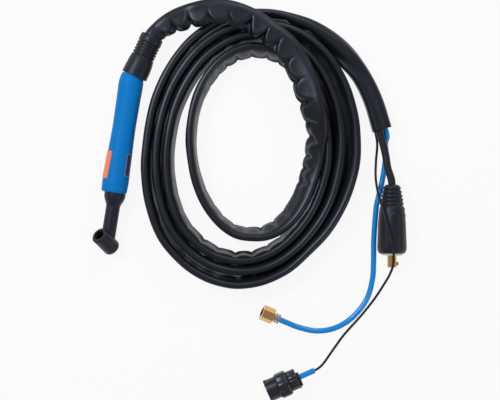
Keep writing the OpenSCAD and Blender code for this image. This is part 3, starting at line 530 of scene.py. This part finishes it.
def round_cord(name, points, diameter, material, body):
    """A cord on one open spline through points in millimetres, and its length."""
    curve = bpy.data.curves.new(name, "CURVE")
    curve.dimensions = "3D"
    curve.bevel_depth = diameter / 2
    curve.bevel_resolution = 6
    curve.use_fill_caps = True
    path = smooth_route(points, CORD_STEP)
    spline = curve.splines.new("POLY")
    spline.points.add(len(path) - 1)
    for held, p in zip(spline.points, path):
        held.co = (*p, 1.0)
    spline.use_smooth = True
    curve.materials.append(material)
    piece = bpy.data.objects.new(name, curve)
    bpy.context.scene.collection.objects.link(piece)
    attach(piece, body)
    return piece, distances(path)[-1]


# ---- Operators ----


# Where the camera looks, which way is up in its view, and what the lamps point at
VIEW_AIM = Vector((0.1901, -0.0211, 0.02))
VIEW_UP = Vector((-0.1556, 0.9878, 0))
LIGHT_AIM = Vector((0.18, -0.02, 0))
SENSOR_WIDTH = 36
BENCH_REACH = 6.0
BENCH_DROP = 0.0002

# The lamps: place, share of the key light's power and size
LAMPS = {
    "key": (Vector((-0.9, 0.55, 1.5)), 1.0, 0.6),
    "fill": (Vector((1.7, -0.6, 0.75)), 0.2, 0.8),
    "back": (Vector((0.4, 1.6, 1.3)), 0.5, 1.0),
}


class TORCH_OT_stage(bpy.types.Operator):
    """Lays out the bench, the lights and the camera"""

    bl_idname = "torch.stage"
    bl_label = "Bench, lights and camera"

    def execute(self, context):
        settings = context.scene.torch_stage
        self.camera(context, settings.view_height, settings.view_width)
        self.bench(context)
        for name, (place, share, size) in LAMPS.items():
            self.light(context, name, place, settings.key_power * share, size)
        self.room(context, settings.room_light)
        context.scene.view_settings.view_transform = "Standard"
        return {"FINISHED"}

    def camera(self, context, height, width):
        """A camera that looks straight down on the bench."""
        camera = bpy.data.objects.new("camera", bpy.data.cameras.new("camera"))
        camera.data.sensor_width = SENSOR_WIDTH
        camera.data.lens = SENSOR_WIDTH * height / width
        back = Vector((0, 0, 1))
        camera.matrix_world = Matrix((VIEW_UP.cross(back), VIEW_UP, back)).transposed().to_4x4()
        camera.location = VIEW_AIM + back * height
        context.scene.collection.objects.link(camera)
        context.scene.camera = camera

    def bench(self, context):
        """The flat bench that the torch lies on."""
        mesh = bmesh.new()
        bmesh.ops.create_grid(mesh, x_segments=1, y_segments=1, size=BENCH_REACH)
        data = bpy.data.meshes.new("bench")
        mesh.to_mesh(data)
        mesh.free()
        bench = bpy.data.objects.new("bench", data)
        bench.location.z = -BENCH_DROP
        data.materials.append(self.bench_surface())
        context.scene.collection.objects.link(bench)

    def bench_surface(self):
        """White to the eye and to what is glossy, and a pale cloth for the light."""
        made = bpy.data.materials.new("bench")
        made.use_nodes = True
        tree = made.node_tree
        tree.nodes.clear()
        rays = node(tree, "ShaderNodeLightPath").outputs
        seen = node(
            tree, "ShaderNodeMath", {0: rays["Is Camera Ray"], 1: rays["Is Transmission Ray"]}, operation="MAXIMUM"
        )
        eye = node(tree, "ShaderNodeMath", {0: seen.outputs[0], 1: 0.9}, operation="MULTIPLY")
        mirrored = node(tree, "ShaderNodeMath", {0: eye.outputs[0], 1: rays["Is Glossy Ray"]}, operation="MAXIMUM")
        white = node(tree, "ShaderNodeEmission", {"Color": (1, 1, 1, 1), "Strength": 1.0})
        cloth = node(tree, "ShaderNodeBsdfDiffuse", {"Color": (0.8, 0.8, 0.8, 1)})
        both = node(tree, "ShaderNodeMixShader", {0: mirrored.outputs[0], 1: cloth.outputs[0], 2: white.outputs[0]})
        node(tree, "ShaderNodeOutputMaterial", {"Surface": both.outputs[0]})
        return made

    def light(self, context, name, place, power, size):
        """A round soft lamp that points at the torch."""
        lamp = bpy.data.lights.new(name, "AREA")
        lamp.shape = "DISK"
        lamp.size = size
        lamp.energy = power
        holder = bpy.data.objects.new(name, lamp)
        holder.location = place
        holder.rotation_euler = (LIGHT_AIM - place).to_track_quat("-Z", "Y").to_euler()
        context.scene.collection.objects.link(holder)

    def room(self, context, strength):
        """Even light from all round, white to the eye."""
        world = bpy.data.worlds.new("room")
        world.use_nodes = True
        tree = world.node_tree
        tree.nodes.clear()
        rays = node(tree, "ShaderNodeLightPath").outputs
        even = node(tree, "ShaderNodeBackground", {"Color": (1, 1, 1, 1), "Strength": strength})
        white = node(tree, "ShaderNodeBackground", {"Color": (1, 1, 1, 1), "Strength": 1.0})
        both = node(tree, "ShaderNodeMixShader", {0: rays["Is Camera Ray"], 1: even.outputs[0], 2: white.outputs[0]})
        node(tree, "ShaderNodeOutputWorld", {"Surface": both.outputs[0]})
        context.scene.world = world


# The light that black rubber and plastic throw back is a little blue
COLD_TINT = (0.72, 0.82, 1.0, 1.0)

# The metals: name, colour, roughness, relief and how much paler the pale parts are
METALS = (
    ("bright_brass", (0.70, 0.42, 0.175), 0.2, 0.03, 1.04),
    # Near-black brass: painted shade for the deep, unlit bore of the head, not the metal's own colour
    ("dark_brass", (0.06, 0.045, 0.03), 0.4, 0.06, 1.35),
    ("bright_copper", (0.62, 0.30, 0.17), 0.3, 0.06, 1.35),
    ("zinc_steel", (0.42, 0.42, 0.44), 0.28, 0.05, 1.35),
)


class TORCH_OT_finishes(bpy.types.Operator):
    """Makes the shared effects and the materials"""

    bl_idname = "torch.finishes"
    bl_label = "Finishes"

    def execute(self, context):
        moulded_grain()
        handling_marks()
        self.plastics(context.scene)
        self.rubbers(context.scene)
        for name, colour, roughness, relief, lift in METALS:
            surface(name, colour, roughness, grain=METAL_SIZES, relief=relief, marks=0.3, lift=lift, Metallic=1.0)
        return {"FINISHED"}

    def plastics(self, scene):
        """The moulded handle, trigger, plugs, hose and plate."""
        surface(
            "handle_plastic", scene.torch_handset.handle_colour, 0.5, relief=0.06, marks=0.1, lift=1.05,
            **{"Specular IOR Level": 0.1},
        )
        surface(
            "trigger_plastic", scene.torch_handset.trigger_colour, 0.45, relief=0.06, marks=0.1, lift=1.03,
            **{"Specular IOR Level": 0.2},
        )
        surface(
            "black_plastic", (0.010, 0.010, 0.013), 0.3, relief=0.02, marks=0.2,
            **{"Specular IOR Level": 0.55, "Specular Tint": COLD_TINT},
        )
        surface(
            "hose_plastic", scene.torch_cables.hose_colour, 0.18, relief=0.0, marks=0.0, lift=1.05,
            **{"Specular IOR Level": 0.5},
        )
        surface("white_nylon", (0.7, 0.68, 0.62), 0.4, relief=0.05)
        surface("plug_lining", (0.7, 0.66, 0.55), 0.5, relief=0.1)
        surface("plate_rim", (0.15, 0.2, 0.32), 0.4, relief=0.05, marks=0.2)
        surface("plate_field", (0.05, 0.025, 0.09), 0.35, relief=0.05, marks=0.3)

    def rubbers(self, scene):
        """The rubber of the boots and the head, the sheath's cloth and the cables' skin."""
        surface(
            "rubber", scene.torch_handset.rubber_colour, 0.42, grain=(700.0, 40.0), relief=0.15, marks=0.3,
            **{"Specular IOR Level": 0.35, "Specular Tint": COLD_TINT},
        )
        surface(
            "sheath_cloth", scene.torch_sheath.colour, 0.38, grain=(1100.0, 22.0), relief=0.1, marks=0.2,
            **{"Specular IOR Level": 0.5, "Specular Tint": COLD_TINT},
        )
        surface(
            "cable_rubber", (0.012, 0.012, 0.014), 0.45, relief=0.05, marks=0.3,
            **{"Specular IOR Level": 0.3, "Specular Tint": COLD_TINT},
        )


# How the sheath's form drifts along it: by how much, how fast per millimetre, and its row of the noise
PITCH_DRIFT = (0.6, 0.025, 3.1)
VALLEY_DRIFT = (0.5, 0.007, 4.4)
FOLD_DRIFT = (0.9, 0.027, 9.2)
SHOULDER_DRIFT = (0.4, 0.03, 1.7)
EDGE_DRIFT = (1.2, 0.022, 2.0, 7.0)
DENTS, DENTS_RATE = 1.3, 0.03


def drift(at, amount, rate, row, column=0.0):
    """A slow even noise along the sheath, up and down by an amount."""
    return amount * noise.noise(Vector((at * rate, row, column)))


def limited(value):
    """A value kept between zero and one."""
    return min(1.0, max(0.0, value))


class TORCH_OT_sheath(bpy.types.Operator):
    """Makes the soft sheath, from the boot round the coil to its open end"""

    bl_idname = "torch.sheath"
    bl_label = "Sheath"

    sides = 48
    squareness = 0.72

    # The valley's half width, and its depth over the tail, from where and over what run it gets there
    valley_half = 0.25
    tail_groove = 2.4
    tail_start = 3560
    tail_run = 60

    # How far a strand on edge bulges, in millimetres
    pressed_out = 2.4

    # The open end: the size of its lip and its inner wall, and how deep that wall goes in
    lip_size = 0.94
    wall_size = 0.92
    wall_depths = (0.004, 0.012, 0.022)
    rings_back = 5

    def execute(self, context):
        settings = context.scene.torch_sheath
        stations = SHEATH_LEAD + SHEATH_COIL + SHEATH_TAIL
        knots = distances([s[0] for s in stations])
        columns = [[s[k] for s in stations] for k in range(len(stations[0]))]
        count = round(knots[-1] * MM / settings.ring_step)
        samples = [
            [smooth_through(column, knots, knots[-1] * k / count) for column in columns] for k in range(count + 1)
        ]
        mesh = bmesh.new()
        rings, path = [], []
        phase = 0.0
        for k, (place, half_w, half_t, lean, fold, pitch) in enumerate(samples):
            at = knots[-1] * k / count
            ahead = (samples[min(k + 1, count)][0] - samples[max(k - 1, 0)][0]).normalized()
            phase += settings.ring_step / MM / (pitch * (1.0 + drift(at, *PITCH_DRIFT)))
            rings.append(self.ring(
                place, ahead, half_w, half_t * settings.flatness, lean, at, phase, fold * settings.folds
            ))
            path.append(place * MM)
        self.open_end(rings)
        bridge_rings(mesh, rings, cap_last=False)
        sheath = finish_mesh(mesh, "sheath", bpy.data.materials["sheath_cloth"], "cable_set", sharp=75.0)
        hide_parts("sheath_lead", "sheath_coil", "sheath_tail")
        distances(path)[-1]
        return {"FINISHED"}

    def ring(self, place, ahead, half_w, half_t, lean, at, phase, fold):
        """One ring of the sheath's skin; its inner edge is at -1 across, and out is the side in view."""
        side = Vector((0, 0, 1)).cross(ahead).normalized()
        up = ahead.cross(side)
        lean = math.radians(lean)
        across = side * math.cos(lean) + up * math.sin(lean)
        out = up * math.cos(lean) - side * math.sin(lean)
        flat = 1 - min(1.0, half_t / half_w)
        upright = math.sin(lean) ** 2
        wide = half_w * math.cos(lean) + half_t * math.sin(lean)
        tall = half_w * math.sin(lean) + half_t * math.cos(lean)

        # A shallow valley wanders along the side in view, and is deepest over the tail
        valley = drift(at, *VALLEY_DRIFT)
        groove = max(flat, self.tail_groove * limited((at - self.tail_start) / self.tail_run))

        # Strands that stand on edge bulge low down on their outer side, against the next one
        pressed = self.pressed_out * flat * max(0.0, 2 * math.sin(lean) - 1)

        # Folds dip from a shoulder to the inner edge, and the shoulder comes in between two teeth
        fold *= 1.0 + drift(at, *FOLD_DRIFT)
        tooth = abs(math.sin(math.pi * phase)) ** 0.9
        shoulder = -0.1 - 0.75 * upright + (0.8 - 0.2 * upright) * tooth**0.8 + drift(at, *SHOULDER_DRIFT)
        scallop = fold * (1.05 * (1 - tooth) ** 1.6 - 0.25)

        ring = []
        for j in range(self.sides):
            turn = math.tau * j / self.sides
            c, s = math.cos(turn), math.sin(turn)
            in_view = max(0.0, s) ** 0.4
            x = half_w * math.copysign(abs(c) ** self.squareness, c)
            y = half_t * math.copysign(abs(s) ** self.squareness, s)
            y -= groove * in_view * bump(c, valley, self.valley_half)
            y += flat * abs(s) * drift(at, DENTS, DENTS_RATE, c * 1.1, s * 0.6 + 5.0)
            x += flat * max(0.0, c) * drift(at, *EDGE_DRIFT)
            slope = limited((-c - shoulder) / (0.45 + 0.5 * upright))
            slope *= slope * (3 - 2 * slope) * (1 - upright * limited((-c - 0.3) / 0.35))
            lift = 0.2 * bump(-c, shoulder - 0.1, 0.3) * tooth * (1 - upright)
            y += fold * (lift - slope) * in_view
            corner = across * x + out * y
            inward = -corner.dot(side) / wide
            corner += side * (scallop * max(0.0, inward) ** 1.2)
            corner += side * (pressed * max(0.0, -inward) * max(0.0, -corner.dot(up) / tall) ** 0.5)
            ring.append((place + corner) * MM)
        return ring

    def open_end(self, rings):
        """Turns the wall of the cut end over its lip and back inside."""
        lip, before = rings[-1], rings[-1 - self.rings_back]
        middle = sum(lip, Vector()) / len(lip)
        ahead = (middle - sum(before, Vector()) / len(before)).normalized()
        rings.append([middle + (p - middle) * self.lip_size for p in lip])
        for depth in self.wall_depths:
            rings.append([middle + (p - middle) * self.wall_size - ahead * depth for p in lip])


class TORCH_OT_cables(bpy.types.Operator):
    """Makes the power cable, the gas hose and the control cable"""

    bl_idname = "torch.cables"
    bl_label = "Cables and hose"

    def execute(self, context):
        settings = context.scene.torch_cables
        power, length = round_cord(
            "power_lead_cable", POWER_ROUTE, settings.power_diameter, bpy.data.materials["cable_rubber"], "cable_set"
        )
        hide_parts("power_cable")
        gas, length = round_cord(
            "gas_supply_hose", GAS_ROUTE, settings.gas_diameter, bpy.data.materials["hose_plastic"], "cable_set"
        )
        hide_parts("gas_hose")
        control, length = round_cord(
            "switch_control_cable", CONTROL_ROUTE, settings.control_diameter, bpy.data.materials["cable_rubber"],
            "cable_set",
        )
        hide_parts("control_cable")
        return {"FINISHED"}


# The trigger's spring, in the handle's frame: its foot, its length and its place along the handle
SPRING_FOOT = 4.2
SPRING_LENGTH = 9.8
SPRING_PLACE = 133.5

# The handle's radius under the plate, by distance along the handle
PLATE_SEAT = ((98.3, 17.52), (115.3, 18.05), (132.3, 18.61))

# The plate's inlays: name, height over the handle, first and last degree round it, start and end along it
INLAYS = (
    ("plate_rim", 0.1, -47, -18, 99.6, 131.6),
    ("plate_field", 0.2, -44, -21.5, 101.2, 130),
)
INLAY_DEPTH = 0.2
INLAY_ROWS = 14
INLAY_COLUMNS = 12


class TORCH_OT_handset(bpy.types.Operator):
    """Finishes the handle, the trigger, the head and what is inside them"""

    bl_idname = "torch.handset"
    bl_label = "Handset"

    def execute(self, context):
        made = bpy.data.materials
        paint(made["handle_plastic"], "handle_upper", "handle_lower", "rating_plate")
        paint(made["trigger_plastic"], "trigger", "switch_plunger")
        paint(made["rubber"], "head_cover")
        paint(made["zinc_steel"], "handle_screws", "trigger_pin")
        # The torch body's brass is painted near black, as painted shade in the head's deep bore
        paint(made["dark_brass"], "torch_body")
        paint(made["bright_brass"], "lead_block")
        paint(made["bright_copper"], "neck_tube")
        paint(made["black_plastic"], "switch_case")
        paint(made["white_nylon"], "front_seat_ring", "rear_seat_ring")
        for name, replaced, diameter, finish, kind, points in INNER_LEADS:
            lead, _ = round_cord(name, [HANDLE @ Vector(p) for p in points], diameter, made[finish], "handset")
            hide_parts(replaced)
        self.return_spring()
        self.plate_field()
        return {"FINISHED"}

    def return_spring(self):
        """The coil spring under the trigger, built at one fixed length; it does not follow the trigger as it goes
        in.
        """
        turns, steps, sides, radius, wire = 7, 22, 8, 2.05, 0.32
        closed_ends = ((0, 0), (0.12, 0.05), (0.88, 0.95), (1, 1))
        rings = []
        for k in range(turns * steps + 1):
            height = wire + (SPRING_LENGTH - 2 * wire) * between(closed_ends, k / (turns * steps))
            turn = math.tau * k / steps
            out = Vector((math.cos(turn), 0, math.sin(turn)))
            middle = Vector((0, SPRING_FOOT + height, SPRING_PLACE)) + out * radius
            rings.append([
                HANDLE @ (middle + (out * math.cos(a) + Vector((0, math.sin(a), 0))) * wire) * MM
                for a in (math.tau * j / sides for j in range(sides))
            ])
        mesh = bmesh.new()
        bridge_rings(mesh, rings)
        spring = finish_mesh(mesh, "return_spring", bpy.data.materials["zinc_steel"], "handset", sharp=60.0)
        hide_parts("trigger_spring")
        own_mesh(spring)

    def plate_field(self):
        """The plate's rim and its dark field, one thin inlay on top of the other."""
        columns = range(INLAY_COLUMNS + 1)
        for name, rise, first, last, start, end in INLAYS:
            rings = []
            for k in range(INLAY_ROWS + 1):
                along = start + (end - start) * k / INLAY_ROWS
                seat = between(PLATE_SEAT, along)
                ring = []
                for radius, order in ((seat + rise, columns), (seat - INLAY_DEPTH, reversed(columns))):
                    for j in order:
                        turn = math.radians(first + (last - first) * j / INLAY_COLUMNS)
                        ring.append(HANDLE @ Vector((radius * math.cos(turn), radius * math.sin(turn), along)) * MM)
                rings.append(ring)
            mesh = bmesh.new()
            bridge_rings(mesh, rings)
            finish_mesh(mesh, name, bpy.data.materials[name], "handset", sharp=50.0)


# The bend boot: its cavity round the ball, how much fuller its cup is on one side and where, and
# where its grooves start and how far apart they are
BALL_CAVITY = 19.8
FULLER_SIDE, FULLEST_AT, FULLER_HALF = 0.7, 24, 9
FIRST_GROOVE = 40
GROOVE_PITCH = 4.6
GROOVES = 5

# The power plug's boot: its ribs by place and radius, and its panel, from start to end along it
PLUG_RIBS = ((5, 12.4), (10.4, 13.6), (15.8, 14.7), (21.2, 15.6), (26.6, 16.3))
PANEL_START, PANEL_END = 40, 88
PANEL_HALF_WIDTH = 8
PANEL_RISE = 1.1
PANEL_EDGE = 6

# Its two knobs: their places, rise and half width; its rim: where it starts and how far askew it is
KNOBS, KNOB_RISE, KNOB_HALF = (34, 43), 0.9, 1.8
RIM_START, RIM_ASKEW = 90.5, 0.05

# The control plug: the lobes of its ring, the flutes of its grip and the slots of its collar
LOBES, LOBE_DEPTH = 6, 1.6
FLUTES, FLUTE_TURN = 5, 0.6
SLOTS, SLOT_HALF, SLOT_FLOOR = 3, 0.16, 15.6


def shrunk(corner, drop):
    """A corner moved towards its axis."""
    corner.xy = corner.xy * (1 - drop / corner.xy.length)
    return corner


class TORCH_OT_ends(bpy.types.Operator):
    """Finishes the boot, the power plug, the gas fitting and the control plug"""

    bl_idname = "torch.ends"
    bl_label = "Boot, plugs and fitting"

    def execute(self, context):
        made = bpy.data.materials
        paint(made["black_plastic"], "swivel_ball", "backshell", "clamp_saddle", "connector_shell", "contact_insert")
        paint(made["white_nylon"], "sheath_tie")
        paint(made["bright_brass"], "plug_pin", "gas_nut", "hose_nipple", "contacts")
        paint(made["bright_copper"], "plug_sleeve")
        paint(made["zinc_steel"], "plug_screw", "hose_ferrule", "clamp_screws")
        paint(made["cable_rubber"], "nut_seal")
        paint(made["hose_plastic"], "cable_sleeve")
        self.bend_boot()
        self.plug_boot()
        self.control_plug()
        return {"FINISHED"}

    def bend_boot(self):
        """The boot behind the handle: a cup over the ball, grooves and a grip on the sheath."""
        outline = [(17.0, 10.4), (17.7, 9.9), (18.3, 10.5), (18.3, 13), (17.9, 22), (17.4, 31), (16.9, 35)]
        for z in (FIRST_GROOVE + GROOVE_PITCH * i for i in range(GROOVES)):
            outline += [(16.4, z - 2.0), (16.1, z - 1.1), (15.0, z - 0.5), (15.0, z + 0.5), (16.0, z + 1.2)]
        outline += [(16.4, 60.8), (16.2, 69), (15.5, 70.6), (14.2, 71), (13.3, 70.4)]
        outline += [(13.3, 34), (7.7, 34), (7.7, 18.3)]
        for a in map(math.radians, (60, 52, 44, 37)):
            outline.append((BALL_CAVITY * math.cos(a), BALL_CAVITY * math.sin(a)))

        def fuller(corner, turn):
            """The cup is a little fuller on the side of the coil."""
            if corner.xy.length > 15:
                corner.x += FULLER_SIDE * max(0.0, math.cos(turn)) * bump(corner.z, FULLEST_AT, FULLER_HALF)
            return corner

        mesh = bmesh.new()
        revolve(mesh, outline, BOOT, sides=96, shape=fuller)
        boot = finish_mesh(mesh, "ribbed_boot", bpy.data.materials["rubber"], "cable_set")
        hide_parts("bend_boot")

    def plug_boot(self):
        """The power plug's boot: ribs, a smooth grip with an arched panel and a pale lining."""
        outline = [(5.5, 0), (8.0, 0), (9.4, 0.6), (10.6, 2.0)]
        for z, crest in PLUG_RIBS:
            low = crest - 0.9
            outline += [(crest - 0.5, z - 1.9), (crest, z - 0.9), (crest, z + 0.9), (crest - 0.3, z + 1.8)]
            outline += [(low, z + 2.4), (low, z + 2.9)]
        outline += [
            (16.8, 31.4), (17.5, 35), (18.1, 39), (19.4, 53), (20.1, 74), (20.6, 87), (20.3, 91.5), (18.6, 95.2),
            (16.6, 96.6), (15.2, 96.6), (15, 96), (15, 90), (9.85, 90), (9.85, 28), (5.5, 28),
        ]

        def panel(corner, turn):
            """The panel on the upper side, two knobs on the right one and a rim that is cut askew."""
            reach = corner.xy.length
            if reach > 16 and math.cos(turn) < 0 and PANEL_START < corner.z < PANEL_END:
                arch = math.sqrt(min(1.0, (corner.z - PANEL_START) / PANEL_EDGE))
                if abs(corner.y) < PANEL_HALF_WIDTH * arch:
                    corner.x -= PANEL_RISE * min(1.0, (PANEL_END - corner.z) / PANEL_EDGE)
            if reach > 14:
                knob = max(bump(corner.z, z, KNOB_HALF) for z in KNOBS)
                corner.y += KNOB_RISE * knob * max(0.0, math.sin(turn)) ** 8
            if corner.z > RIM_START:
                corner.z += RIM_ASKEW * corner.x
            return corner

        mesh = bmesh.new()
        revolve(mesh, refined(outline, 1.6), PLUG, sides=120, shape=panel)
        boot = finish_mesh(mesh, "power_plug_boot", bpy.data.materials["rubber"], "cable_set")
        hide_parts("plug_boot")
        mesh = bmesh.new()
        revolve(mesh, [
            (6.8, 90.1), (14.9, 90.1), (14.9, 97.0), (14.4, 98.2), (13.4, 98.7), (7.6, 98.7), (6.8, 98.2),
        ], PLUG, sides=96)
        finish_mesh(mesh, "plug_lining", bpy.data.materials["plug_lining"], "cable_set")

    def control_plug(self):
        """The control plug's lobed coupling ring, its fluted backshell and its front collar."""

        def lobes(corner, turn):
            if corner.xy.length > 17:
                return shrunk(corner, LOBE_DEPTH * (0.5 - 0.5 * math.cos(LOBES * turn)) ** 1.6)
            return corner

        def flutes(corner, turn):
            return shrunk(corner, (1 - abs(math.cos(FLUTES * turn + FLUTE_TURN))) ** 2)

        def slots(corner, turn):
            gap = min(abs((turn - k * math.tau / SLOTS + math.pi) % math.tau - math.pi) for k in range(SLOTS))
            if corner.xy.length > SLOT_FLOOR and gap < SLOT_HALF:
                return shrunk(corner, corner.xy.length - SLOT_FLOOR)
            return corner

        black = bpy.data.materials["black_plastic"]
        mesh = bmesh.new()
        revolve(mesh, [
            (14.6, 17.4), (15.4, 17), (17.2, 17.2), (17.9, 18.4), (18.5, 20), (18.5, 31), (17.9, 32.6), (17.2, 33.8),
            (15.4, 34), (14.6, 33.6),
        ], CONNECTOR, sides=120, shape=lobes)
        ring = finish_mesh(mesh, "lobed_ring", black, "coupling_ring")
        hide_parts("coupling_ring")
        mesh = bmesh.new()
        revolve(mesh, [
            (13.2, 4), (13.9, 4.2), (14.4, 5), (14.4, 16.2), (14.0, 16.8), (13.2, 16.8),
        ], CONNECTOR, sides=160, shape=flutes)
        finish_mesh(mesh, "backshell_grip", black, "cable_set")
        mesh = bmesh.new()
        revolve(mesh, [
            (15.4, 46), (16, 46.2), (16.2, 47), (16.2, 49.4), (15.9, 50), (15.4, 50),
        ], CONNECTOR, sides=144, shape=slots)
        finish_mesh(mesh, "shell_collar", black, "cable_set")


class TORCH_PT_panel(bpy.types.Panel):
    """Lists the torch's pieces in the sidebar"""

    bl_label = "TIG Torch"
    bl_idname = "TORCH_PT_panel"
    bl_space_type = "VIEW_3D"
    bl_region_type = "UI"
    bl_category = "TIG Torch"

    def draw(self, context):
        for group in ("torch_stage", "torch_handset", "torch_sheath", "torch_cables"):
            settings = getattr(context.scene, group)
            box = self.layout.box()
            for name in settings.__annotations__:
                box.prop(settings, name)
        for step in STEPS:
            self.layout.operator(f"torch.{step}")


# The operators in the order in which they run: the cords name pieces that the ends make
STEPS = ("stage", "finishes", "ends", "handset", "sheath", "cables")
SETTINGS = {
    "torch_stage": StageSettings,
    "torch_handset": HandsetSettings,
    "torch_sheath": SheathSettings,
    "torch_cables": CableSettings,
}
CLASSES = (
    *SETTINGS.values(), TORCH_OT_stage, TORCH_OT_finishes, TORCH_OT_sheath, TORCH_OT_cables, TORCH_OT_handset,
    TORCH_OT_ends, TORCH_PT_panel,
)


def register():
    """Registers the classes and puts their settings on the scene."""
    for made in CLASSES:
        bpy.utils.register_class(made)
    for name, group in SETTINGS.items():
        setattr(bpy.types.Scene, name, bpy.props.PointerProperty(type=group))


def unregister():
    """Takes the settings and the classes away again."""
    for name in SETTINGS:
        delattr(bpy.types.Scene, name)
    for made in reversed(CLASSES):
        bpy.utils.unregister_class(made)


def main():
    """Builds the torch."""
    register()
    for step in STEPS:
        getattr(bpy.ops.torch, step)()


if __name__ == "__main__":
    main()
